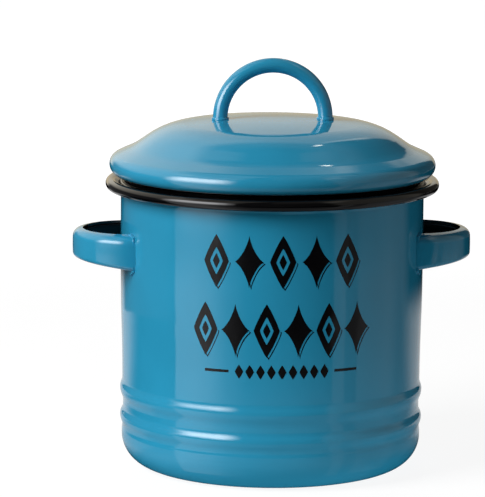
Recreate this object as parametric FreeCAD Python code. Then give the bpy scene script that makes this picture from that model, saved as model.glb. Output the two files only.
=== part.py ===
import FreeCAD, Part
import math
import os

# Enamelled grease pot with a plug lid and a hanging strainer.
# Millimetres. +Z up, the origin is the middle of the pot's flat base, the strap handles lie along X.

# pot
sheet_t = 0.9            # enamelled steel sheet
wall_top_r = 63.6        # outside of the wall below the mouth
wall_low_step = 0.7      # the wall just above the ribs is this much narrower
wall_base_step = 0.5     # and so is the wall below them
base_corner_r = 13.0
groove_start_z = 14.5    # shallow groove under the lower rib
groove_h = 2.2
groove_depth = 0.2
rib_flank_h = 4.2        # height over which a swaged rib rises or falls
rib_long_flank_h = 5.4   # the upper rib's lower flank
rib_valley_h = 2.1       # flat bottom of the valley between the ribs
rib_crest_step = 0.2     # the ribs' crests stand this far outside the upper wall
rib_depth = 1.2          # from the crests to the valley
rim_reach = 6.4          # from the wall's outside to the rim's
rim_z = 119.5            # height of the rim's widest line
rim_curl_r = 2.35
flare_r = 4.1            # outside radius where the wall turns out to the rim
flare_turn = 40.0        # degrees from upright

# strap handles of the pot
strap_inset = 5.2        # from the wall's outside in to the centre of the strap's bend
strap_outer_r = 25.4
strap_drop = 18.7        # from the rim's widest line down to the strap's top
strap_h_tip = 12.1
strap_h_foot = 14.9
strap_t = 1.0
strap_web_turn = 4.0     # the web is bowed this little
strap_top_r = 3.45       # the top edge is rolled in and ends in a lip
strap_top_turn = 80.0
strap_lip_tip = 1.2
strap_lip_foot = 2.6
strap_low_r = 1.8        # the lower edge is turned in less
strap_low_turn = 60.0
strap_low_lip = 0.6
strap_step = 15          # degrees between the loft's sections
foot_inset = 3.6         # from the strap's outside in to the middle of a foot
foot_t = 0.8
foot_w = 3.5             # from a foot's middle to its side
foot_rise = 0.8          # how far its peak stands above the strap
foot_leaf = 2.1          # how far its tip hangs below the strap
foot_slope = 1.4         # from its peak down to its upper corners
cylinder_margin = 0.4    # the wall is a true cylinder from this far below the feet

# lid
bead_r = 4.6
lid_inset = 1.6          # the bead stays this far inside the rim's outside
dome_r = 330.0
shoulder_r = 33.0
side_slope = 35.0
flank_len = 5.5          # straight flank between the shoulder and the neck
neck_r = 20.0
land_slope = 24.0
land_len = 5.5
plug_slope = 20.0        # degrees from upright
plug_room = 3.5          # between the pot's wall and the plug
plug_bend_r = 4.0
plug_drop = 18.6         # from the bead's centre to the plug's lower edge

# arch handle of the lid
arch_r = 22.05           # its centre is level with the top of the dome
rod_r = 3.1
collar_r = 3.6
collar_h = 0.4           # from the top of the dome up
collar_round = 0.45
collar_sink = 4.0        # the collar starts below the dome and is trimmed to it

# strainer
ring_r = 1.2
seat_drop = 2.8          # how far down the flare the ring sits
band_t = 0.6
bowl_below_plug = 8.4    # the bowl's bottom below the plug's lower edge
band_corner_r = 4.0
lip_w = 4.6
mesh_t = 0.6
hoop_t = 0.9
hoop_w = 3.6
grip_t = 1.0             # strainer handle
grip_w = 12.0
grip_root_w = 21.0
grip_root_len = 9.0
grip_len = 34.0          # past the rim
grip_over = 1.2          # run past the rim before it levels out
grip_bend_r = 4.0
ear_t = 0.6
ear_w = 9.0
ear_end = 0.35           # distance of the ear's end from the rim's curl

# clearances
seat_gap = 0.3           # between the loose pieces at rest
weld_gap = 0.05          # between welded neighbours with curved faces
nest_gap = 0.35          # between the lid's plug and the strainer's band
grip_gap = 0.51          # above and below the strainer's handle, between the rim and the bead

AXIS = FreeCAD.Vector(0, 0, 1)
ORIGIN = FreeCAD.Vector(0, 0, 0)


def unit(angle):
    return (math.cos(math.radians(angle)), math.sin(math.radians(angle)))


def at(point, direction, length):
    return (point[0] + direction[0] * length, point[1] + direction[1] * length)


def place(point):
    return FreeCAD.Vector(point[0], 0, point[1])


class Sheet:
    """A bent sheet's section in the (radius, height) plane, drawn as lines and tangent arcs."""

    def __init__(self, start, heading):
        self.point = start
        self.heading = heading
        self.moves = []

    def line(self, length):
        end = at(self.point, unit(self.heading), length)
        self.moves.append((self.point, self.heading, 0.0, 0.0, end))
        self.point = end

    def arc(self, radius, turn):
        """Positive turns go to the left."""
        side = math.copysign(90.0, turn)
        centre = at(self.point, unit(self.heading + side), radius)
        end = at(centre, unit(self.heading + turn - side), radius)
        self.moves.append((self.point, self.heading, radius, turn, end))
        self.point = end
        self.heading += turn

    def swell(self, shift, rise):
        """Two equal arcs that shift the sheet sideways (positive to the right) over a rise."""
        turn = 2 * math.degrees(math.atan2(abs(shift), rise))
        radius = rise / (2 * math.sin(math.radians(turn)))
        turn = math.copysign(turn, -shift)
        self.arc(radius, turn)
        self.arc(radius, -turn)

    def edges(self, offset):
        """The path's edges, moved to the left by offset."""
        made = []
        for start, heading, radius, turn, end in self.moves:
            first = at(start, unit(heading + 90), offset)
            last = at(end, unit(heading + turn + 90), offset)
            if turn == 0:
                made.append(Part.LineSegment(place(first), place(last)).toShape())
            else:
                side = math.copysign(90.0, turn)
                centre = at(start, unit(heading + side), radius)
                reach = radius - offset * math.copysign(1.0, turn)
                middle = at(centre, unit(heading + turn / 2 - side), reach)
                made.append(Part.Arc(place(first), place(middle), place(last)).toShape())
        return made

    def face(self, offset, low=0.0):
        """The closed section between two offsets."""
        near = self.edges(low)
        far = self.edges(offset)
        ends = [(near[0].Vertexes[0], far[0].Vertexes[0]), (near[-1].Vertexes[-1], far[-1].Vertexes[-1])]
        caps = [Part.LineSegment(a.Point, b.Point).toShape() for a, b in ends]
        return Part.Face(Part.Wire(Part.__sortEdges__(near + far + caps)))


def spin(face, degrees=360.0, start=0.0):
    """Turn a section round the pot's axis; start is the angle of its first side from +X."""
    turned = face.copy()
    turned.rotate(ORIGIN, AXIS, start)
    return turned.revolve(ORIGIN, AXIS, degrees)


def ring(inner, outer, bottom, top):
    tube = Part.makeCylinder(outer, top - bottom, FreeCAD.Vector(0, 0, bottom))
    return tube.cut(Part.makeCylinder(inner, top - bottom, FreeCAD.Vector(0, 0, bottom)))


def write(name, shape):
    shape.removeSplitter().exportStep(os.path.join("parts", name + ".step"))
    print(name, "solids", len(shape.Solids), "valid", shape.isValid(), "volume", round(shape.Volume, 1))


# wall of the pot
wall_in_r = wall_top_r - sheet_t
wall_low_r = wall_top_r - wall_low_step
wall_base_r = wall_top_r - wall_base_step
rib_crest_r = wall_top_r + rib_crest_step
rib_valley_r = rib_crest_r - rib_depth

# mouth of the pot: the flare's inside line touches the rim's curl from above
rim_r = wall_top_r + rim_reach
curl_centre = (rim_r - rim_curl_r, rim_z)
flare_way = unit(90 - flare_turn)
flare_side = unit(180 - flare_turn)
curl_touch = at(curl_centre, flare_side, rim_curl_r)
flare_in_r = flare_r + sheet_t
flare_end_r = wall_in_r + flare_in_r * (1 - math.cos(math.radians(flare_turn)))
flare_run = (curl_touch[0] - flare_end_r) / flare_way[0]
flare_start_z = curl_touch[1] - flare_run * flare_way[1] - flare_in_r * math.sin(math.radians(flare_turn))
curl_chord = math.sqrt(rim_curl_r ** 2 - (rim_curl_r - sheet_t) ** 2)

# strap handles
strap_centre_x = wall_top_r - strap_inset
strap_top_z = rim_z - strap_drop
strap_foot_z = strap_top_z - strap_h_foot
foot_top_z = strap_top_z + foot_rise
foot_tip_z = strap_foot_z - foot_leaf
draft_end_z = foot_tip_z - cylinder_margin

# the lid's bead stands off the rim's curl by the strainer handle and its gaps
slot = grip_t + 2 * grip_gap
bead_x = rim_r - lid_inset - bead_r
curl_to_bead = rim_curl_r + slot + bead_r
bead_rise = math.sqrt(curl_to_bead ** 2 - (curl_centre[0] - bead_x) ** 2)
bead_centre = (bead_x, rim_z + bead_rise)
gap_way = ((bead_x - curl_centre[0]) / curl_to_bead, bead_rise / curl_to_bead)
gap_middle = at(curl_centre, gap_way, rim_curl_r + slot / 2)

# the strainer's ring lies on the flare, and the lid's plug passes inside it
ring_centre = at(at(curl_touch, flare_way, -seat_drop), flare_side, ring_r + seat_gap)
plug_side = unit(-plug_slope)
ring_from_bead = (ring_centre[0] - bead_x, ring_centre[1] - bead_centre[1] + bead_r)
ring_beside = ring_from_bead[0] * plug_side[0] + ring_from_bead[1] * plug_side[1]
throat_r = (ring_r + seat_gap - ring_beside) / (1 + plug_side[1])
plug_r = wall_in_r - plug_room
plug_bottom_z = bead_centre[1] - plug_drop
band_bottom_z = plug_bottom_z - bowl_below_plug
grip_reach = rim_r + grip_len


def pot_section():
    """Base, ribs, wall and flare as one sheet, closed round the rim's curl."""
    path = Sheet((0.0, 0.0), 0.0)
    path.line(wall_base_r - base_corner_r)
    path.arc(base_corner_r, 90)
    path.line(groove_start_z - base_corner_r)
    path.swell(-groove_depth, groove_h)
    path.swell(rib_crest_r - path.point[0], rib_flank_h)
    path.swell(rib_valley_r - rib_crest_r, rib_flank_h)
    path.line(rib_valley_h)
    path.swell(rib_crest_r - rib_valley_r, rib_long_flank_h)
    path.swell(wall_low_r - rib_crest_r, rib_flank_h)
    path.swell(wall_top_r - wall_low_r, draft_end_z - path.point[1])
    path.line(flare_start_z - draft_end_z)
    path.arc(flare_r, -flare_turn)
    path.line(flare_run - curl_chord)
    outside = path.edges(0.0)
    start = path.point
    path.line(curl_chord)
    inside = path.edges(sheet_t)
    curl_side = at(curl_centre, unit(-flare_turn), rim_curl_r)
    curl = Part.Arc(place(start), place(curl_side), place(curl_touch)).toShape()
    middle = Part.LineSegment(ORIGIN, FreeCAD.Vector(0, 0, sheet_t)).toShape()
    return Part.Face(Part.Wire(Part.__sortEdges__(outside + [curl] + inside + [middle])))


def strap_path(start, web_r, lip):
    """The strap's section from its lower edge round the web to the top lip."""
    path = Sheet(start, 90 - strap_web_turn / 2 - strap_low_turn)
    path.line(strap_low_lip)
    path.arc(strap_low_r, strap_low_turn)
    path.arc(web_r, strap_web_turn)
    path.arc(strap_top_r, strap_top_turn)
    path.line(lip)
    return path


def strap_section(angle):
    """The section at an angle round the strap's bend. It grows faster towards the feet."""
    share = (angle / 90.0) ** 2
    height = strap_h_tip + (strap_h_foot - strap_h_tip) * share
    lip = strap_lip_tip + (strap_lip_foot - strap_lip_tip) * share
    half_turn = math.radians(strap_web_turn / 2)
    webless = strap_path((0.0, 0.0), 0.0, lip)
    web_r = (height - webless.point[1]) / (2 * math.sin(half_turn))
    depth = webless.moves[2][0][0] + web_r * (1 - math.cos(half_turn))
    path = strap_path((strap_outer_r - depth, strap_top_z - height), web_r, lip)
    section = path.face(strap_t).OuterWire
    section.rotate(ORIGIN, AXIS, angle)
    section.translate(FreeCAD.Vector(strap_centre_x, 0, 0))
    return section


def foot_plate(side):
    """A foot that lies on the wall behind one end of the strap, with a pointed tip below it."""
    angle = side * math.degrees(math.asin((strap_outer_r - foot_inset) / wall_top_r))
    inner = wall_top_r + weld_gap
    shell = ring(inner, inner + foot_t, foot_tip_z, foot_top_z)
    points = [(0.0, foot_top_z), (foot_w, foot_top_z - foot_slope), (foot_w, strap_foot_z)]
    points += [(0.0, foot_tip_z), (-foot_w, strap_foot_z), (-foot_w, foot_top_z - foot_slope)]
    corners = [FreeCAD.Vector(0, across, height) for across, height in points]
    leaf = Part.Face(Part.makePolygon(corners + corners[:1])).extrude(FreeCAD.Vector(rim_r, 0, 0))
    leaf.rotate(ORIGIN, AXIS, angle)
    return shell.common(leaf)


def pot_handle():
    """The strap handle on the +X side."""
    reach = 90 + strap_step
    angles = range(-reach, reach + 1, strap_step)
    strap = Part.makeLoft([strap_section(angle) for angle in angles], True, False)
    wall = Part.makeCylinder(wall_top_r + weld_gap, rim_z)
    strap = strap.cut(wall)
    return strap.fuse([foot_plate(1), foot_plate(-1)])


def lid_path():
    """Dome, bead and plug. The dome's arc runs as far as the shoulder and flank leave it."""
    bead_start = at(bead_centre, unit(90 - land_slope), bead_r)
    side_sine = math.sin(math.radians(side_slope))
    taken = flank_len * math.cos(math.radians(side_slope))
    taken += neck_r * (side_sine - math.sin(math.radians(land_slope)))
    taken += land_len * math.cos(math.radians(land_slope))
    dome_sine = (bead_start[0] - taken - shoulder_r * side_sine) / (dome_r - shoulder_r)
    dome_slope = math.degrees(math.asin(dome_sine))

    def crown(top_z):
        path = Sheet((0.0, top_z), 0.0)
        path.arc(dome_r, -dome_slope)
        path.arc(shoulder_r, dome_slope - side_slope)
        path.line(flank_len)
        path.arc(neck_r, side_slope - land_slope)
        path.line(land_len)
        return path

    path = crown(bead_start[1] - crown(0.0).point[1])
    path.arc(bead_r, land_slope - 180)
    path.arc(throat_r, 90 - plug_slope)
    plug_start = path.point
    bend_share = plug_bend_r * (1 - math.cos(math.radians(plug_slope)))
    path.line((path.point[0] - plug_r - bend_share) / math.sin(math.radians(plug_slope)))
    path.arc(plug_bend_r, plug_slope)
    path.line(path.point[1] - plug_bottom_z)
    return path, plug_start


lid_sheet, plug_start = lid_path()
arch_z = lid_sheet.moves[0][0][1]


def band_section():
    """The strainer's bowl: it follows the lid's plug, then turns in to a flat lip."""
    plug_way = 270 - plug_slope
    beside_plug = at(plug_start, unit(plug_way + 90), nest_gap)
    below_top = (beside_plug[1] - ring_centre[1]) / math.cos(math.radians(plug_slope))
    start = at(beside_plug, unit(plug_way), below_top)
    path = Sheet(start, plug_way)
    bend_r = plug_bend_r - nest_gap
    straight_r = plug_r + nest_gap
    bend_share = bend_r * (1 - math.cos(math.radians(plug_slope)))
    path.line((start[0] - straight_r - bend_share) / math.sin(math.radians(plug_slope)))
    path.arc(bend_r, plug_slope)
    path.line(path.point[1] - band_bottom_z - band_t - band_corner_r)
    path.arc(band_corner_r, -90)
    path.line(lip_w)
    return path.face(band_t)


def grip_section():
    """The strainer handle's side view: up through the gap under the lid, then level."""
    rise = math.degrees(math.atan2(gap_middle[1] - ring_centre[1], gap_middle[0] - ring_centre[0]))
    to_gap = math.hypot(gap_middle[0] - ring_centre[0], gap_middle[1] - ring_centre[1])
    path = Sheet(ring_centre, rise)
    path.line(to_gap + grip_over)
    path.arc(grip_bend_r, -rise)
    path.line(grip_reach - path.point[0])
    return path.face(grip_t / 2, -grip_t / 2)


def grip_outline():
    """Plan of the strainer handle along +Y: wide root, straight strap, round end."""
    root_y = ring_centre[0] - ring_r
    neck_y = ring_centre[0] + grip_root_len
    end_y = grip_reach - grip_w / 2
    half = grip_w / 2
    left = [(-grip_root_w / 2, root_y), (-half, neck_y), (-half, end_y)]
    right = [(-x, y) for x, y in reversed(left)]
    low_z = ring_centre[1] - ring_r
    points = [FreeCAD.Vector(x, y, low_z) for x, y in left + right]
    sides = [Part.LineSegment(a, b).toShape() for a, b in zip(points[:2], points[1:3])]
    sides += [Part.LineSegment(a, b).toShape() for a, b in zip(points[3:5], points[4:6])]
    sides.append(Part.Arc(points[2], FreeCAD.Vector(0, grip_reach, low_z), points[3]).toShape())
    sides.append(Part.LineSegment(points[5], points[0]).toShape())
    outline = Part.Face(Part.Wire(Part.__sortEdges__(sides)))
    return outline.extrude(FreeCAD.Vector(0, 0, bead_centre[1] - low_z))


def sector(section, centre_angle, width, radius):
    """Part of a turned section, wide enough for a strap of this width at this radius."""
    half = math.degrees(math.asin(width / 2 / radius))
    return spin(section, 2 * half, centre_angle - half)


def ear_section():
    """A short lip that lies along the flare, from the ring towards the rim."""
    start = at(at(curl_touch, flare_way, -seat_drop), flare_side, seat_gap + ear_t / 2)
    path = Sheet(start, 90 - flare_turn)
    path.line(seat_drop - ear_end)
    return path.face(ear_t / 2, -ear_t / 2)


def ring_torus(radius):
    return Part.makeTorus(ring_centre[0], radius, FreeCAD.Vector(0, 0, ring_centre[1]))


def lid_arch():
    """Bent rod with a collar at each foot, trimmed to the dome."""
    start = FreeCAD.Vector(arch_r, 0, arch_z)
    rod = Part.Face(Part.Wire(Part.makeCircle(rod_r, start, AXIS)))
    arch = rod.revolve(FreeCAD.Vector(0, 0, arch_z), FreeCAD.Vector(0, -1, 0), 180)
    pieces = []
    for side in (1, -1):
        foot = FreeCAD.Vector(side * arch_r, 0, arch_z - collar_sink)
        collar = Part.makeCylinder(collar_r, collar_sink + collar_h, foot)
        top = [edge for edge in collar.Edges if edge.BoundBox.ZMin > arch_z]
        pieces.append(collar.makeFillet(collar_round, top))
    dome = Part.makeSphere(dome_r + weld_gap, FreeCAD.Vector(0, 0, arch_z - dome_r))
    return arch.fuse(pieces).cut(dome)


os.makedirs("parts", exist_ok=True)

right_handle = pot_handle()
write("pot_shell", spin(pot_section()))
write("pot_handle_right", right_handle)
write("pot_handle_left", right_handle.mirror(ORIGIN, FreeCAD.Vector(1, 0, 0)))

write("lid_shell", spin(lid_sheet.face(-sheet_t)))
write("lid_handle", lid_arch())

fused_ring = ring_torus(ring_r + weld_gap)
mesh_r = plug_r + nest_gap - band_corner_r - weld_gap
mesh_z = band_bottom_z + band_t
hoop_z = mesh_z + mesh_t
write("strainer_ring", ring_torus(ring_r))
write("strainer_band", spin(band_section()).cut(fused_ring))
write("strainer_mesh", Part.makeCylinder(mesh_r, mesh_t, FreeCAD.Vector(0, 0, mesh_z)))
write("strainer_hoop", ring(mesh_r - hoop_w, mesh_r, hoop_z, hoop_z + hoop_t))

grip = sector(grip_section(), 90, grip_root_w, ring_centre[0] - ring_r).common(grip_outline())
write("strainer_handle", grip.cut(fused_ring))
ear = sector(ear_section(), 270, ear_w, ring_centre[0])
write("strainer_rest_ear", ear.cut(fused_ring))
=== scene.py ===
import math

import bpy
from mathutils import Euler, Matrix, Vector


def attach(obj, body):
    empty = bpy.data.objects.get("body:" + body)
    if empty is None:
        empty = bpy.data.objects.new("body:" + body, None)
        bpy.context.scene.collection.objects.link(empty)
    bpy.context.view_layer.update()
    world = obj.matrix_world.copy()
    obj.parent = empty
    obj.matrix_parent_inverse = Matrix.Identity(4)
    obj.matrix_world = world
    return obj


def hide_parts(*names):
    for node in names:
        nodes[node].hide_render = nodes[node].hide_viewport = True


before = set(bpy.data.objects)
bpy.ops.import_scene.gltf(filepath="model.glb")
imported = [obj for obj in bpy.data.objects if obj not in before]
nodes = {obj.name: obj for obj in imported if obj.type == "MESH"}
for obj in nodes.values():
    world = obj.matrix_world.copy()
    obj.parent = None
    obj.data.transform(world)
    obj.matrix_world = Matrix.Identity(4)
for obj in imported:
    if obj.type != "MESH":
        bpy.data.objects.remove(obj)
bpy.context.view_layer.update()        # pot, lid and strainer as packed, in metres

mm = 0.001


# ---- node helpers

def newMaterial(name):
    mat = bpy.data.materials.new(name)
    mat.use_nodes = True
    mat.node_tree.nodes.clear()
    out = mat.node_tree.nodes.new("ShaderNodeOutputMaterial")
    return mat, mat.node_tree, out


def addNode(tree, kind, inputs=None, **settings):
    node = tree.nodes.new(kind)
    for key, value in settings.items():
        setattr(node, key, value)
    for key, value in (inputs or {}).items():
        if isinstance(value, bpy.types.NodeSocket):
            tree.links.new(value, node.inputs[key])
        else:
            node.inputs[key].default_value = value
    return node


def math2(tree, operation, a, b=0.0):
    return addNode(tree, "ShaderNodeMath", {0: a, 1: b}, operation=operation).outputs[0]


def length2(tree, a, b):
    squares = math2(tree, "ADD", math2(tree, "POWER", a, 2.0), math2(tree, "POWER", b, 2.0))
    return math2(tree, "SQRT", squares)


def ramp(tree, value, low, high, outLow=0.0, outHigh=1.0):
    node = addNode(tree, "ShaderNodeMapRange", {"Value": value, "From Min": low, "From Max": high,
                                                "To Min": outLow, "To Max": outHigh},
                   interpolation_type="SMOOTHSTEP")
    return node.outputs["Result"]


def box1(tree, value, low, high, softLow, softHigh):
    return math2(tree, "MULTIPLY", ramp(tree, value, low - softLow, low + softLow),
                 ramp(tree, value, high + softHigh, high - softHigh))


def mixColour(tree, factor, a, b):
    node = addNode(tree, "ShaderNodeMix", {"Factor": factor, "A": a, "B": b}, data_type="RGBA")
    return node.outputs["Result"]


def shadeColour(tree, colour, value):
    return addNode(tree, "ShaderNodeHueSaturation", {"Value": value, "Color": colour}).outputs["Color"]


def coords(tree, kind="Object"):
    return addNode(tree, "ShaderNodeTexCoord").outputs[kind]


def splitXYZ(tree, vector):
    node = addNode(tree, "ShaderNodeSeparateXYZ", {0: vector})
    return [node.outputs[axis] for axis in "XYZ"]


def noise(tree, where, scale, detail):
    return addNode(tree, "ShaderNodeTexNoise",
                   {"Vector": where, "Scale": scale, "Detail": detail}).outputs["Fac"]


def stretch(tree, where, scale):
    return addNode(tree, "ShaderNodeMapping", {"Vector": where, "Scale": scale}).outputs[0]


def bumpFrom(tree, height):             # height in metres
    bump = addNode(tree, "ShaderNodeBump", {"Height": height, "Strength": 1.0, "Distance": 1.0})
    return bump.outputs["Normal"]


def newGroup(name, inputs, outputs):
    group = bpy.data.node_groups.new(name, "ShaderNodeTree")
    for label, kind, value in inputs:
        socket = group.interface.new_socket(label, in_out="INPUT", socket_type=kind)
        socket.default_value = value
    for label, kind in outputs:
        group.interface.new_socket(label, in_out="OUTPUT", socket_type=kind)
    return group, group.nodes.new("NodeGroupInput").outputs, group.nodes.new("NodeGroupOutput").inputs


def place(tree, group, **values):
    return addNode(tree, "ShaderNodeGroup", values, node_tree=group).outputs


# ---- mesh helpers

def deselect():
    if bpy.context.mode != "OBJECT":
        bpy.ops.object.mode_set(mode="OBJECT")
    bpy.ops.object.select_all(action="DESELECT")


def editAll():
    bpy.ops.object.mode_set(mode="EDIT")
    bpy.ops.mesh.select_all(action="SELECT")


def outwards():
    bpy.ops.mesh.select_all(action="SELECT")
    bpy.ops.mesh.normals_make_consistent(inside=False)
    bpy.ops.object.mode_set(mode="OBJECT")


def joinAll(pieces, name):
    deselect()
    for piece in pieces:
        piece.select_set(True)
    bpy.context.view_layer.objects.active = pieces[0]
    bpy.ops.object.join()
    pieces[0].name = name
    pieces[0].data.name = name
    return pieces[0]


def copyOf(piece, shift):
    twin = piece.copy()
    twin.data = piece.data.copy()
    bpy.context.scene.collection.objects.link(twin)
    twin.data.transform(Matrix.Translation(shift))
    return twin


def setMaterial(piece, mat):
    piece.data.materials.clear()
    piece.data.materials.append(mat)


print("helpers ready")


# ---- enamel: glass fired on steel, slightly wavy, with a few specks

enamel = {
    "blue": (0.022, 0.279, 0.462, 1.0),
    "black": (0.004, 0.004, 0.005, 1.0),
    "ior": 1.52,
    "blackDepth": 0.42,                                  # how far black glass dulls its reflections
    "gloss": 0.05,
    "flowScale": 45.0, "flow": 0.00006,                  # slow waves of the glass
    "peelScale": 420.0, "peelDetail": 2.0, "peel": 0.0000035,     # orange peel
    "cloudScale": 22.0, "cloudDetail": 3.0,              # uneven colour and gloss
    "cloudShade": (0.3, 0.7, 0.96, 1.04), "cloudGloss": (0.35, 0.7, 0.0, 0.025),
    "speckScale": 160.0, "speckEdge": (0.05, 0.035), "speckRare": (0.93, 0.95), "speckDepth": 0.45,
}


def makeEnamelSkin():
    group, inp, out = newGroup("enamelSkin", [
        ("Colour", "NodeSocketColor", enamel["blue"]),
        ("Gloss", "NodeSocketFloat", enamel["gloss"]),
        ("Flow", "NodeSocketFloat", enamel["flow"]),
        ("Peel", "NodeSocketFloat", enamel["peel"])],
        [("Colour", "NodeSocketColor"), ("Roughness", "NodeSocketFloat"), ("Normal", "NodeSocketVector")])
    where = coords(group)
    flow = noise(group, where, enamel["flowScale"], 1.0)
    peel = noise(group, where, enamel["peelScale"], enamel["peelDetail"])
    cloud = noise(group, where, enamel["cloudScale"], enamel["cloudDetail"])
    speck = addNode(group, "ShaderNodeTexVoronoi", {"Vector": where, "Scale": enamel["speckScale"]},
                    feature="F1")
    dot = ramp(group, speck.outputs["Distance"], *enamel["speckEdge"])
    chance = addNode(group, "ShaderNodeSeparateColor", {"Color": speck.outputs["Color"]}).outputs["Red"]
    rare = ramp(group, chance, *enamel["speckRare"])
    speckMask = math2(group, "MULTIPLY", math2(group, "MULTIPLY", dot, rare), enamel["speckDepth"])
    shaded = shadeColour(group, inp["Colour"], ramp(group, cloud, *enamel["cloudShade"]))
    group.links.new(mixColour(group, speckMask, shaded, enamel["black"]), out["Colour"])
    rough = math2(group, "ADD", inp["Gloss"], ramp(group, cloud, *enamel["cloudGloss"]))
    group.links.new(rough, out["Roughness"])
    height = math2(group, "ADD", math2(group, "MULTIPLY", flow, inp["Flow"]),
                   math2(group, "MULTIPLY", peel, inp["Peel"]))
    group.links.new(bumpFrom(group, height), out["Normal"])
    return group


def makeInsideMask():
    group, inp, out = newGroup("insideMask", [("Middle", "NodeSocketVector", (0.0, 0.0, 0.0))],
                               [("Inside", "NodeSocketFloat")])
    away = addNode(group, "ShaderNodeVectorMath", {0: coords(group), 1: inp["Middle"]},
                   operation="SUBTRACT")
    facing = addNode(group, "ShaderNodeVectorMath", {0: away.outputs[0], 1: coords(group, "Normal")},
                     operation="DOT_PRODUCT")
    group.links.new(math2(group, "LESS_THAN", facing.outputs["Value"], 0.0), out["Inside"])
    return group


enamelSkin = makeEnamelSkin()
insideMask = makeInsideMask()


def finishEnamel(tree, out, colour, black=0.0, gloss=enamel["gloss"], flow=enamel["flow"],
                 peel=enamel["peel"]):
    skin = place(tree, enamelSkin, Colour=colour, Gloss=gloss, Flow=flow, Peel=peel)
    if isinstance(black, float):           # black glass shows fainter reflections
        deep = black * enamel["blackDepth"]
    else:
        deep = math2(tree, "MULTIPLY", black, enamel["blackDepth"])
    shader = addNode(tree, "ShaderNodeBsdfPrincipled",
                     {"Base Color": skin["Colour"], "Roughness": skin["Roughness"], "Normal": skin["Normal"],
                      "Metallic": deep, "IOR": enamel["ior"]})
    tree.links.new(shader.outputs[0], out.inputs["Surface"])


def blueAndBlack(tree, black):
    return mixColour(tree, black, enamel["blue"], enamel["black"])


potPaint = {
    "middle": (0.0, 0.0, 60 * mm),      # seen from here, outside faces point away
    "curlR": 67.65 * mm, "curlZ": 119.5 * mm, "curlOut": 2.45 * mm,
    "edgeSoft": 0.12 * mm,
}


def makePotEnamel():
    mat, tree, out = newMaterial("potEnamel")
    inside = place(tree, insideMask, Middle=potPaint["middle"])["Inside"]
    x, y, z = splitXYZ(tree, coords(tree))
    toCurl = length2(tree, math2(tree, "SUBTRACT", length2(tree, x, y), potPaint["curlR"]),
                     math2(tree, "SUBTRACT", z, potPaint["curlZ"]))
    curl = ramp(tree, toCurl, potPaint["curlOut"] + potPaint["edgeSoft"], potPaint["curlOut"])
    black = math2(tree, "MAXIMUM", inside, curl)
    finishEnamel(tree, out, blueAndBlack(tree, black), black=black)
    return mat


lidPaint = {
    "middle": (0.0, 0.0, 125 * mm),
    "neckShadeLow": 117.6 * mm, "neckShadeTop": 123.7 * mm, "edgeSoft": 0.15 * mm,     # painted shade: the blue neck above the plug is painted black where the gap under the bead lies in shade
}


def makeLidEnamel():
    mat, tree, out = newMaterial("lidEnamel")
    inside = place(tree, insideMask, Middle=lidPaint["middle"])["Inside"]
    height = splitXYZ(tree, coords(tree))[2]
    # painted shade: a black band on the neck between bead and plug stands in for the shade in the gap under
    # the lid
    neckShade = box1(tree, height, lidPaint["neckShadeLow"], lidPaint["neckShadeTop"], lidPaint["edgeSoft"],
                  lidPaint["edgeSoft"])
    # black enamel inside, plus the painted shade band on the neck
    black = math2(tree, "MAXIMUM", inside, neckShade)
    finishEnamel(tree, out, blueAndBlack(tree, black), black=black)
    return mat


archPaint = {"flow": 0.00002}           # glass flows less on a thin rod


def makeArchEnamel():
    mat, tree, out = newMaterial("archEnamel")
    finishEnamel(tree, out, enamel["blue"], flow=archPaint["flow"])
    return mat


strapPaint = {"middleX": 58.4 * mm, "middleZ": 94 * mm, "flow": 0.00003}


def makeHandleEnamel(side):
    mat, tree, out = newMaterial("handleEnamel" + side.capitalize())
    outwardX = strapPaint["middleX"] if side == "right" else -strapPaint["middleX"]
    inside = place(tree, insideMask, Middle=(outwardX, 0.0, strapPaint["middleZ"]))["Inside"]
    finishEnamel(tree, out, blueAndBlack(tree, inside), flow=strapPaint["flow"], black=inside)
    return mat


# ---- stainless steel: spun bowl, ring and wires, brushed strap and ear

spun = {
    "scale": (60.0, 60.0, 2600.0), "detail": 2.0,       # fine lines that run round the strainer
    "lineRough": (0.3, 0.7, 0.85, 1.25), "depth": 0.0000015,
    "smudgeScale": 38.0, "smudgeDetail": 3.0, "smudgeEdge": (0.45, 0.7),
    "smudgeShade": 0.93, "smudgeRough": 0.05,
    "bowl": ((0.6, 0.59, 0.57, 1.0), 0.12),             # colour and roughness
    # painted shade: the ring's steel is darker than the bowl's so it stays dark in the shaded gap under the
    # lid
    "ring": ((0.18, 0.18, 0.175, 1.0), 0.3),
    "wire": ((0.5, 0.5, 0.49, 1.0), 0.22),
}


def makeSpunMarks():
    group, inp, out = newGroup("spunMarks", [
        ("Colour", "NodeSocketColor", spun["bowl"][0]),
        ("Roughness", "NodeSocketFloat", spun["bowl"][1])],
        [("Colour", "NodeSocketColor"), ("Roughness", "NodeSocketFloat"), ("Normal", "NodeSocketVector")])
    where = coords(group)
    marks = noise(group, stretch(group, where, spun["scale"]), 1.0, spun["detail"])
    smudge = ramp(group, noise(group, where, spun["smudgeScale"], spun["smudgeDetail"]), *spun["smudgeEdge"])
    shaded = shadeColour(group, inp["Colour"], ramp(group, smudge, 0.0, 1.0, 1.0, spun["smudgeShade"]))
    group.links.new(shaded, out["Colour"])
    rough = math2(group, "MULTIPLY", inp["Roughness"], ramp(group, marks, *spun["lineRough"]))
    rough = math2(group, "ADD", rough, math2(group, "MULTIPLY", smudge, spun["smudgeRough"]))
    group.links.new(rough, out["Roughness"])
    group.links.new(bumpFrom(group, math2(group, "MULTIPLY", marks, spun["depth"])), out["Normal"])
    return group


spunMarks = makeSpunMarks()


def makeSteel(name, look):
    mat, tree, out = newMaterial(name)
    skin = place(tree, spunMarks, Colour=look[0], Roughness=look[1])
    shader = addNode(tree, "ShaderNodeBsdfPrincipled",
                     {"Base Color": skin["Colour"], "Roughness": skin["Roughness"], "Normal": skin["Normal"],
                      "Metallic": 1.0})
    tree.links.new(shader.outputs[0], out.inputs["Surface"])
    return mat


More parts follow.
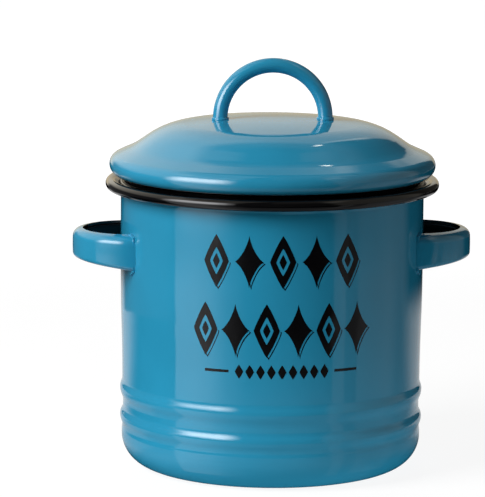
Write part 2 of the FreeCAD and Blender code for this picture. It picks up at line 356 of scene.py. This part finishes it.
brushed = {
    "colour": (0.66, 0.65, 0.63, 1.0),
    "scale": (1500.0, 40.0, 1500.0), "detail": 3.0,     # the brush ran along the strap
    "rough": (0.3, 0.7, 0.36, 0.48), "depth": 0.000012,
}


def makeBrushedSteel():
    mat, tree, out = newMaterial("brushedSteel")
    grain = noise(tree, stretch(tree, coords(tree), brushed["scale"]), 1.0, brushed["detail"])
    shader = addNode(tree, "ShaderNodeBsdfPrincipled",
                     {"Base Color": brushed["colour"], "Roughness": ramp(tree, grain, *brushed["rough"]),
                      "Normal": bumpFrom(tree, math2(tree, "MULTIPLY", grain, brushed["depth"])),
                      "Metallic": 1.0})
    tree.links.new(shader.outputs[0], out.inputs["Surface"])
    return mat


bowlSteel = makeSteel("strainerSteel", spun["bowl"])
strapSteel = makeBrushedSteel()

finishes = {
    "pot_shell": makePotEnamel(),
    "pot_handle_left": makeHandleEnamel("left"),
    "pot_handle_right": makeHandleEnamel("right"),
    "lid_shell": makeLidEnamel(),
    "lid_handle": makeArchEnamel(),
    # ring steel darkened as painted shade for the gap under the lid
    "strainer_ring": makeSteel("ringSteelShadeDarkened", spun["ring"]),
    "strainer_band": bowlSteel,
    "strainer_mesh": bowlSteel,
    "strainer_hoop": bowlSteel,
    "strainer_handle": strapSteel,
    "strainer_rest_ear": strapSteel,
}

for name, mat in finishes.items():
    for slot in nodes[name].material_slots:
        slot.material = mat
print("materials on")


# ---- front ornament: rows of lozenges and stars, printed in black with an offset line

ornament = {
    "rows": [
        {"z": 95.9 * mm, "height": 21.6 * mm, "width": 10.6 * mm, "pitch": 13.75 * mm, "count": 5},
        {"z": 67.7 * mm, "height": 22.0 * mm, "width": 10.6 * mm, "pitch": 12.9 * mm, "count": 6},
    ],
    "beads": {"z": 50.6 * mm, "height": 5.8 * mm, "width": 3.5 * mm, "pitch": 4.45 * mm, "count": 9},
    "dash": {"from": 22.2 * mm, "to": 32.6 * mm, "thick": 1.1 * mm, "parts": 6},
    "lozenge": 1.8, "star": 2.7,          # powers of the outline
    "starWiden": 1.12,
    "ringLoops": [1.0, 0.52], "coreLoops": [0.28, 0.1],       # sizes of the loops from the outline inwards
    "starLoops": [1.0, 0.66, 0.33], "beadLoops": [1.0, 0.5],
    "ringLine": [1.0, 0.925], "starLine": [1.0, 0.88],
    "lineShift": 0.85 * mm, "tipTrim": 0.02,
    "thick": 0.10 * mm, "lineThick": 0.07 * mm, "sunk": 0.04 * mm,
    "points": 48, "smooth": 40.0,
    "wallR": 63.5 * mm, "rayFrom": 100 * mm,
    "ink": {"gloss": 0.16, "flow": 0.00003, "peel": 0.00001},
}


def addMotif(width, height, power, loops, thick, filled=False, half=False):
    deselect()
    bpy.ops.mesh.primitive_circle_add(vertices=ornament["points"], radius=1.0, rotation=(math.pi / 2, 0, 0))
    bpy.ops.object.transform_apply(location=False, rotation=True, scale=False)
    motif = bpy.context.object
    for vertex in motif.data.vertices:
        x, z = vertex.co.x, vertex.co.z
        vertex.co.x = math.copysign(abs(x) ** power, x) * width / 2
        vertex.co.z = math.copysign(abs(z) ** power, z) * height / 2
    editAll()
    size = loops[0]
    bpy.ops.transform.resize(value=(size, 1.0, size), center_override=(0, 0, 0))
    for smaller in loops[1:]:
        bpy.ops.mesh.extrude_edges_move()
        bpy.ops.transform.resize(value=(smaller / size, 1.0, smaller / size), center_override=(0, 0, 0))
        size = smaller
    if filled:
        bpy.ops.mesh.edge_face_add()
    bpy.ops.mesh.select_all(action="SELECT")
    if half:                               # only the lower half of an offset line shows
        bpy.ops.mesh.bisect(plane_co=(0, 0, ornament["tipTrim"] * height), plane_no=(0, 0, -1),
                            clear_inner=True)
        bpy.ops.mesh.select_all(action="SELECT")
    bpy.ops.mesh.extrude_region_move(TRANSFORM_OT_translate={"value": (0, -thick, 0)})
    outwards()
    return motif


def addDash(left, right, z):
    deselect()
    bpy.ops.mesh.primitive_cube_add(size=1.0, location=((left + right) / 2, -ornament["thick"] / 2, z),
                                    scale=(right - left, ornament["thick"], ornament["dash"]["thick"]))
    bpy.ops.object.transform_apply(location=True, rotation=False, scale=True)
    parts = ornament["dash"]["parts"]
    for cut in range(1, parts):            # enough edges to follow the wall
        editAll()
        bpy.ops.mesh.bisect(plane_co=(left + (right - left) * cut / parts, 0, 0), plane_no=(1, 0, 0))
    bpy.ops.object.mode_set(mode="OBJECT")
    return bpy.context.object


def wrapOnWall(piece, wall):
    for vertex in piece.data.vertices:
        across, out, up = vertex.co
        angle = across / ornament["wallR"]
        way = Vector((math.sin(angle), -math.cos(angle), 0.0))
        where = wall.ray_cast(way * ornament["rayFrom"] + Vector((0, 0, up)), -way)[1]
        vertex.co = where + way * (-out - ornament["sunk"])


def rowPlaces(row):
    return [Vector(((number - (row["count"] - 1) / 2) * row["pitch"], 0.0, row["z"]))
            for number in range(row["count"])]


def addRow(row):
    w, h, starW = row["width"], row["height"], row["width"] * ornament["starWiden"]
    lozenge, star, thick, lineThick = (ornament[key] for key in ("lozenge", "star", "thick", "lineThick"))
    lozengeSet = [addMotif(w, h, lozenge, ornament["ringLoops"], thick),
                  addMotif(w, h, lozenge, ornament["coreLoops"], thick, filled=True)]
    lozengeLine = addMotif(w, h, lozenge, ornament["ringLine"], lineThick, half=True)
    starSet = [addMotif(starW, h, star, ornament["starLoops"], thick, filled=True)]
    starLine = addMotif(starW, h, star, ornament["starLine"], lineThick, half=True)
    lineShift = Vector((ornament["lineShift"], 0.0, -ornament["lineShift"]))
    parts = []
    for number, at in enumerate(rowPlaces(row)):
        shapes, line = (lozengeSet, lozengeLine) if number % 2 == 0 else (starSet, starLine)
        parts += [copyOf(shape, at) for shape in shapes] + [copyOf(line, at + lineShift)]
    for model in lozengeSet + starSet + [lozengeLine, starLine]:
        bpy.data.objects.remove(model)
    return parts


def makePrintBlack():
    mat, tree, out = newMaterial("printBlack")
    finishEnamel(tree, out, enamel["black"], black=1.0, **ornament["ink"])
    return mat


def makeOrnament():
    parts = []
    for row in ornament["rows"]:
        parts += addRow(row)
    beads, dash = ornament["beads"], ornament["dash"]
    bead = addMotif(beads["width"], beads["height"], ornament["lozenge"], ornament["beadLoops"],
                    ornament["thick"], filled=True)
    parts += [copyOf(bead, at) for at in rowPlaces(beads)]
    bpy.data.objects.remove(bead)
    parts += [addDash(-dash["to"], -dash["from"], beads["z"]), addDash(dash["from"], dash["to"], beads["z"])]
    whole = joinAll(parts, "front_ornament")
    wrapOnWall(whole, nodes["pot_shell"])
    bpy.ops.object.shade_smooth_by_angle(angle=math.radians(ornament["smooth"]))
    setMaterial(whole, makePrintBlack())
    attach(whole, "pot")


makeOrnament()
print("ornament printed")


# ---- woven bottom of the strainer

weave = {
    "pitch": 1.6 * mm, "wireR": 0.155 * mm, "wireSides": 4, "reach": 54.9 * mm, "middleZ": 101.5 * mm,
    "bends": (-0.5, 0.0, 0.5),             # where a wave of the wire has its rings, in pitches
    "merge": 0.01 * mm, "smooth": 100.0,
}


def repeatAlong(piece, step, count, merge=0.0):
    deselect()
    piece.select_set(True)
    bpy.context.view_layer.objects.active = piece
    array = piece.modifiers.new("repeat", "ARRAY")
    array.use_relative_offset = False
    array.use_constant_offset = True
    array.constant_offset_displace = step
    array.count = count
    array.use_merge_vertices = merge > 0
    array.merge_threshold = merge
    bpy.ops.object.modifier_apply(modifier="repeat")


def trimRound(piece, reach):
    bpy.ops.object.mode_set(mode="EDIT")
    bpy.ops.mesh.select_mode(type="VERT")
    bpy.ops.mesh.select_all(action="DESELECT")
    bpy.ops.object.mode_set(mode="OBJECT")
    for vertex in piece.data.vertices:
        vertex.select = math.hypot(vertex.co.x, vertex.co.y) > reach
    bpy.ops.object.mode_set(mode="EDIT")
    bpy.ops.mesh.delete(type="VERT")
    outwards()


def makeWeave():
    pitch = weave["pitch"]
    waves = math.ceil(weave["reach"] / pitch / 2) * 2      # half the number of waves along a wire
    deselect()
    bpy.ops.mesh.primitive_cylinder_add(vertices=weave["wireSides"], radius=weave["wireR"], depth=2 * pitch,
                                        end_fill_type="NOTHING", rotation=(0, math.pi / 2, 0))
    bpy.ops.object.transform_apply(location=False, rotation=True, scale=False)
    wire = bpy.context.object
    for bend in weave["bends"]:
        editAll()
        bpy.ops.mesh.bisect(plane_co=(bend * pitch, 0, 0), plane_no=(1, 0, 0))
    bpy.ops.object.mode_set(mode="OBJECT")
    for vertex in wire.data.vertices:
        vertex.co.z += weave["wireR"] * math.cos(math.pi * vertex.co.x / pitch)
    repeatAlong(wire, (2 * pitch, 0, 0), waves, merge=weave["merge"])
    wire.data.transform(Matrix.Translation((-waves * pitch, -waves * pitch, 0)))
    neighbour = copyOf(wire, Vector((pitch, pitch, 0)))   # the next wire goes under where this one goes over
    lengthwise = joinAll([wire, neighbour], "strainer_weave")
    repeatAlong(lengthwise, (0, 2 * pitch, 0), waves)
    across = copyOf(lengthwise, Vector((0, 0, 0)))
    across.data.transform(Matrix.Translation((pitch, 0, 0)) @ Matrix.Rotation(math.pi / 2, 4, "Z"))
    whole = joinAll([lengthwise, across], "strainer_weave")
    trimRound(whole, weave["reach"])
    whole.data.transform(Matrix.Translation((0, 0, weave["middleZ"])))
    bpy.ops.object.shade_smooth_by_angle(angle=math.radians(weave["smooth"]))
    setMaterial(whole, makeSteel("weaveWire", spun["wire"]))
    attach(whole, "strainer")
    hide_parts("strainer_mesh")


makeWeave()
print("weave made")


# ---- studio

view = {
    "frame": (485, 497), "focal": 3570.0, "sensor": 36.0,
    "distance": 1485.4 * mm, "height": 328.3 * mm, "down": 9.061, "left": 0.476, "roll": 0.38,
    "turn": -4.2,            # the camera stands this far round from the pot's front
}

studio = {
    "aim": (0.0, 0.0, 0.08), "ambient": 0.02,
    "panels": {              # soft lamps, their azimuths from the camera towards +X
        "keyPanel": {"azimuth": -57.0, "elevation": 34.0, "distance": 1.15, "width": 0.58, "height": 0.72,
                     "power": 15.0},
        "fillPanel": {"azimuth": 75.0, "elevation": 12.0, "distance": 1.4, "width": 0.9, "height": 0.9,
                      "power": 2.8},
        "backPanel": {"azimuth": 180.0, "elevation": 22.0, "distance": 1.6, "width": 1.0, "height": 1.0,
                      "power": 9.0},
    },
    "bounceCentre": (-0.01, -0.09), "bounceZ": 0.3 * mm,
    "bounces": {             # light that the floor throws back up
        "floorNear": {"diameter": 0.28, "power": 0.135},
        "floorFar": {"diameter": 0.9, "power": 0.05},
    },
}


def direction(azimuth, elevation=0.0):
    a = math.radians(azimuth + view["turn"])
    e = math.radians(elevation)
    return Vector((math.sin(a) * math.cos(e), -math.cos(a) * math.cos(e), math.sin(e)))


def addLamp(name, shape, size, power):
    lamp = bpy.data.lights.new(name, "AREA")
    lamp.shape = shape
    lamp.size = size
    lamp.energy = power
    panel = bpy.data.objects.new(name, lamp)
    bpy.context.scene.collection.objects.link(panel)
    panel.visible_camera = False
    panel.visible_glossy = False
    return panel


def addPanel(name, azimuth, elevation, distance, width, height, power):
    panel = addLamp(name, "RECTANGLE", width, power)
    panel.data.size_y = height
    way = direction(azimuth, elevation)
    panel.location = Vector(studio["aim"]) + way * distance
    panel.rotation_euler = way.to_track_quat("Z", "Y").to_euler()


def addBounce(name, diameter, power):
    panel = addLamp(name, "DISK", diameter, power)
    centre = Matrix.Rotation(math.radians(view["turn"]), 3, "Z") @ Vector((*studio["bounceCentre"], 0.0))
    panel.location = (centre.x, centre.y, studio["bounceZ"])
    panel.rotation_euler = (math.pi, 0.0, 0.0)


def glossOnly(piece):
    piece.visible_camera = False
    piece.visible_diffuse = False
    piece.visible_shadow = False
    piece.visible_transmission = False
    piece.visible_volume_scatter = False


def backgroundRay(tree):
    path = addNode(tree, "ShaderNodeLightPath").outputs
    seen = math2(tree, "MAXIMUM", path["Is Camera Ray"], path["Is Glossy Ray"])
    return math2(tree, "MAXIMUM", seen, path["Is Transmission Ray"])


def makeWorld():
    world = bpy.data.worlds.new("studioWorld")
    bpy.context.scene.world = world
    world.use_nodes = True
    tree = world.node_tree
    tree.nodes.clear()
    strength = math2(tree, "ADD", math2(tree, "MULTIPLY", backgroundRay(tree), 1.0 - studio["ambient"]),
                     studio["ambient"])
    back = addNode(tree, "ShaderNodeBackground", {"Color": (1.0, 1.0, 1.0, 1.0), "Strength": strength})
    addNode(tree, "ShaderNodeOutputWorld", {"Surface": back.outputs[0]})


def glowMaterial(tree, out, strength, colour=(1.0, 1.0, 1.0, 1.0)):
    glow = addNode(tree, "ShaderNodeEmission", {"Color": colour, "Strength": strength})
    tree.links.new(glow.outputs[0], out.inputs["Surface"])


def glowOver(tree, out, strength):         # a glow added to what lies behind it
    glow = addNode(tree, "ShaderNodeEmission", {"Strength": strength})
    clear = addNode(tree, "ShaderNodeBsdfTransparent")
    both = addNode(tree, "ShaderNodeAddShader", {0: clear.outputs[0], 1: glow.outputs[0]})
    tree.links.new(both.outputs[0], out.inputs["Surface"])


def polar(tree):                           # azimuth, distance from the axis, height
    x, y, z = splitXYZ(tree, coords(tree))
    turn = math2(tree, "DEGREES", math2(tree, "ARCTAN2", math2(tree, "MULTIPLY", x, -1.0), y))
    return math2(tree, "ADD", turn, 180.0), length2(tree, x, y), z


def patchSum(tree, across, up, patches):
    total = 0.0
    for (left, right), (low, high), (softLeft, softRight), (softLow, softHigh), glow in patches:
        share = math2(tree, "MULTIPLY", box1(tree, across, left, right, softLeft, softRight),
                      box1(tree, up, low, high, softLow, softHigh))
        total = math2(tree, "ADD", total, math2(tree, "MULTIPLY", share, glow))
    return total


floorLook = {
    "size": 8.0, "diffuse": (0.14, 0.14, 0.14, 1.0),
    "near": 0.35, "far": 1.0,              # distances from the axis
    "nearGlow": 0.90, "farGlow": 1.0,      # and the brightness there
}


def makeFloor():
    deselect()
    bpy.ops.mesh.primitive_plane_add(size=floorLook["size"])
    floor = bpy.context.object
    floor.name = "studioFloor"
    mat, tree, out = newMaterial("paleFloor")
    level = ramp(tree, polar(tree)[1], floorLook["near"], floorLook["far"], floorLook["nearGlow"],
                 floorLook["farGlow"])
    strength = math2(tree, "MULTIPLY", backgroundRay(tree), level)
    pale = addNode(tree, "ShaderNodeBsdfDiffuse", {"Color": floorLook["diffuse"]})
    glow = addNode(tree, "ShaderNodeEmission", {"Strength": strength})
    both = addNode(tree, "ShaderNodeAddShader", {0: pale.outputs[0], 1: glow.outputs[0]})
    tree.links.new(both.outputs[0], out.inputs["Surface"])
    setMaterial(floor, mat)


# what the enamel mirrors: azimuth from the camera towards +X, elevation, soft edges, brightness
wallPatches = [
    ((160.6, 283), (-3, 55), (1.2, 7), (3, 6), 0.58),     # white backdrop, sharp on its right
    ((159.9, 162.4), (31, 50), (0.9, 0.9), (3, 5), 0.85),  # its lit edge
    ((190, 283), (-3, 55), (14, 7), (3, 6), 0.50),
    ((126, 222), (50, 67), (8, 6), (7, 5), 0.20),
    ((217, 274), (22, 62), (10, 8), (8, 6), 0.16),        # left back wall
    ((222, 332), (52, 90), (8, 8), (5, 1), 0.58),
    ((268, 332), (44, 56), (4, 8), (6, 4), 0.90),         # wall above the softbox
    ((44, 121), (-14, 55), (4, 6), (4, 8), 0.35),         # right wall
    ((50, 70), (48, 60), (3, 3), (3, 3), 0.80),
    ((68, 112), (57, 68), (3, 4), (3, 4), 0.55),
    ((60, 142), (64, 90), (6, 3), (5, 1), 0.26),          # ceiling
    ((0, 52), (52, 90), (1, 6), (8, 1), 0.12),
    ((0, 360), (-30, 90), (1, 1), (1, 1), 0.05),
    ((164, 215), (9, 22), (4, 6), (3, 5), 0.12),          # lit middle of the backdrop
    ((156.6, 158.6), (55.5, 59), (0.8, 0.8), (0.8, 0.8), 12.0),     # small lamp
]

walls = {
    "radius": 1.9, "middle": (0.0, 0.0, 0.1), "rest": (1.06, 1.0, 0.86, 1.0),
    "tan": (1.0, 0.84, 0.56, 1.0), "tanAcross": (158, 204, 10, 10), "tanUp": (-20, 8, 6, 6),
}


def turnStage(piece):
    piece.rotation_euler = (0.0, 0.0, math.radians(view["turn"]))
    glossOnly(piece)


def makeStudioWalls():
    deselect()
    bpy.ops.mesh.primitive_uv_sphere_add(segments=64, ring_count=32, radius=walls["radius"],
                                         location=walls["middle"])
    shell = bpy.context.object
    shell.name = "studioWalls"
    bpy.ops.object.shade_smooth()
    mat, tree, out = newMaterial("wallReflections")
    azimuth, flat, height = polar(tree)
    elevation = math2(tree, "DEGREES", math2(tree, "ARCTAN2", height, flat))
    foot = math2(tree, "MULTIPLY", box1(tree, azimuth, *walls["tanAcross"]),
                 box1(tree, elevation, *walls["tanUp"]))
    glowMaterial(tree, out, patchSum(tree, azimuth, elevation, wallPatches),
                 mixColour(tree, foot, walls["rest"], walls["tan"]))
    setMaterial(shell, mat)
    turnStage(shell)


keyCard = {
    # a softbox near the pot, as the enamel sees it
    "azimuth": -49.5, "distance": 0.325, "width": 0.35, "bottom": 0.048, "top": 0.405,
    "edgeX": 0.060, "edgeZ": 0.080, "glow": 12.0,
}


def makeKeyCard():
    height = keyCard["top"] - keyCard["bottom"]
    middle = direction(keyCard["azimuth"]) * keyCard["distance"]
    middle.z = keyCard["bottom"] + height / 2
    deselect()
    bpy.ops.mesh.primitive_plane_add(size=1.0, location=middle)
    card = bpy.context.object
    card.name = "keyCard"
    card.rotation_euler = (math.pi / 2, 0.0, math.radians(keyCard["azimuth"] + view["turn"]))
    card.scale = (keyCard["width"], height, 1.0)
    mat, tree, out = newMaterial("keyCardGlow")
    u, v = splitXYZ(tree, coords(tree, "UV"))[:2]
    softX = keyCard["edgeX"] / keyCard["width"]
    softZ = keyCard["edgeZ"] / height
    share = math2(tree, "MULTIPLY", box1(tree, u, softX, 1 - softX, softX, softX),
                  box1(tree, v, softZ, 1 - softZ, softZ, softZ))
    glowOver(tree, out, math2(tree, "MULTIPLY", share, keyCard["glow"]))
    setMaterial(card, mat)
    glossOnly(card)


darkCard = {
    # a curved black card behind the left handle
    "from": 212.0, "to": 291.0, "radius": 0.33, "bottom": 0.01, "top": 0.225, "steps": 20,
    "glow": 0.10, "softSide": 0.07, "softTop": 0.20,
}


def makeDarkCard():
    deselect()
    bpy.ops.mesh.primitive_grid_add(x_subdivisions=darkCard["steps"], y_subdivisions=1, size=2.0)
    card = bpy.context.object
    card.name = "darkCard"
    for vertex in card.data.vertices:
        share = (vertex.co.x + 1) / 2
        height = darkCard["top"] if vertex.co.y > 0 else darkCard["bottom"]
        azimuth = darkCard["from"] + (darkCard["to"] - darkCard["from"]) * share
        vertex.co = direction(azimuth) * darkCard["radius"]
        vertex.co.z = height
    mat, tree, out = newMaterial("cardBlack")
    u, v = splitXYZ(tree, coords(tree, "UV"))[:2]
    side, top = darkCard["softSide"], darkCard["softTop"]
    share = math2(tree, "MULTIPLY", box1(tree, u, side, 1 - side, side, side),
                  ramp(tree, v, 1.0, 1 - 2 * top))
    glow = addNode(tree, "ShaderNodeEmission", {"Strength": darkCard["glow"]})
    clear = addNode(tree, "ShaderNodeBsdfTransparent")
    both = addNode(tree, "ShaderNodeMixShader", {0: share, 1: clear.outputs[0], 2: glow.outputs[0]})
    tree.links.new(both.outputs[0], out.inputs["Surface"])
    setMaterial(card, mat)
    glossOnly(card)


# the table as the enamel mirrors it: azimuth, distance from the axis, soft edges, brightness
tablePatches = [
    ((0, 48), (0.07, 0.26), (0.1, 6), (0.02, 0.07), 0.28),
    ((300, 360), (0.07, 0.26), (20, 0.1), (0.02, 0.07), 0.28),
    ((48, 118), (0.08, 1.6), (6, 8), (0.02, 0.2), 0.22),
    ((118, 165), (0.09, 0.42), (10, 12), (0.02, 0.08), 0.62),
    ((165, 196), (0.08, 0.5), (12, 12), (0.03, 0.1), 0.42),
    ((196, 238), (0.08, 0.52), (12, 12), (0.03, 0.1), 0.75),
    ((238, 282), (0.07, 0.14), (12, 4), (0.01, 0.02), 0.55),
    ((282, 322), (0.07, 0.16), (2, 10), (0.01, 0.03), 0.30),
]

tableBands = [
    # stops of angle on the pot's wall, from the camera towards +X, and brightness there
    {"stops": [(-39.6, 0.0), (-39.2, 1.35), (-30.0, 1.5), (-24.0, 1.2), (-17.0, 0.4), (-9.0, 0.0)],
     "steps": 31},
    {"stops": [(23.7, 0.0), (24.1, 0.34), (28.8, 0.30), (29.2, 0.0)], "steps": 11},
    {"stops": [(33.8, 0.0), (34.3, 0.26), (50.0, 0.26), (57.0, 0.0)], "steps": 20},
]

# distance from the wall and share of the brightness there
bandReach = [(0.0, 0.42), (0.06, 0.5), (0.2, 0.9), (0.5, 0.9), (0.66, 0.4), (1.6, 0.2)]

table = {"radius": 1.75, "sides": 96, "z": 0.2 * mm, "bandZ": 0.4 * mm, "wallR": 63.2 * mm}


def stopValue(stops, x):
    for (x0, v0), (x1, v1) in zip(stops, stops[1:]):
        if x0 <= x <= x1:
            return v0 + (v1 - v0) * (x - x0) / (x1 - x0)
    return 0.0


def makeTable():
    deselect()
    bpy.ops.mesh.primitive_circle_add(vertices=table["sides"], radius=table["radius"], fill_type="NGON",
                                      location=(0, 0, table["z"]))
    disc = bpy.context.object
    disc.name = "tableMirror"
    mat, tree, out = newMaterial("tableGlow")
    azimuth, away = polar(tree)[:2]
    glowMaterial(tree, out, patchSum(tree, azimuth, away, tablePatches))
    setMaterial(disc, mat)
    turnStage(disc)


def makeTableBand(name, stops, steps):
    rows = len(bandReach) - 1
    start, width = stops[0][0], stops[-1][0] - stops[0][0]
    deselect()
    bpy.ops.mesh.primitive_grid_add(x_subdivisions=steps, y_subdivisions=rows, size=2.0)
    fan = bpy.context.object
    fan.name = name
    glowing = fan.data.attributes.new("bandGlow", "FLOAT", "POINT")
    for vertex in fan.data.vertices:
        phi = start + width * round((vertex.co.x + 1) / 2 * steps) / steps
        reach, share = bandReach[round((vertex.co.y + 1) / 2 * rows)]
        glowing.data[vertex.index].value = stopValue(stops, phi) * share
        vertex.co = direction(phi) * table["wallR"] + direction(2 * phi) * reach     # as the wall mirrors it
        vertex.co.z = table["bandZ"]
    mat, tree, out = newMaterial("bandGlow")
    glowOver(tree, out, addNode(tree, "ShaderNodeAttribute", attribute_name="bandGlow").outputs["Fac"])
    setMaterial(fan, mat)
    glossOnly(fan)


makeWorld()
makeFloor()
makeStudioWalls()
makeKeyCard()
makeDarkCard()
makeTable()
for number, band in enumerate(tableBands):
    makeTableBand("tableBand%d" % number, **band)
for name, lamp in studio["panels"].items():
    addPanel(name, **lamp)
for name, lamp in studio["bounces"].items():
    addBounce(name, **lamp)
print("studio lit")


# ---- camera

def makeCamera():
    data = bpy.data.cameras.new("mainCamera")
    data.sensor_width = view["sensor"]
    data.lens = view["focal"] * view["sensor"] / max(view["frame"])
    camera = bpy.data.objects.new("mainCamera", data)
    bpy.context.scene.collection.objects.link(camera)
    turn = Matrix.Rotation(math.radians(view["turn"]), 3, "Z")
    aim = Euler((math.radians(90 - view["down"]), 0.0, math.radians(view["left"]))).to_matrix()
    roll = Matrix.Rotation(math.radians(view["roll"]), 3, "Z")
    camera.location = turn @ Vector((0.0, -view["distance"], view["height"]))
    camera.rotation_euler = (turn @ aim @ roll).to_euler()
    bpy.context.scene.camera = camera


makeCamera()
bpy.context.scene.view_settings.view_transform = "Standard"
print("camera set")
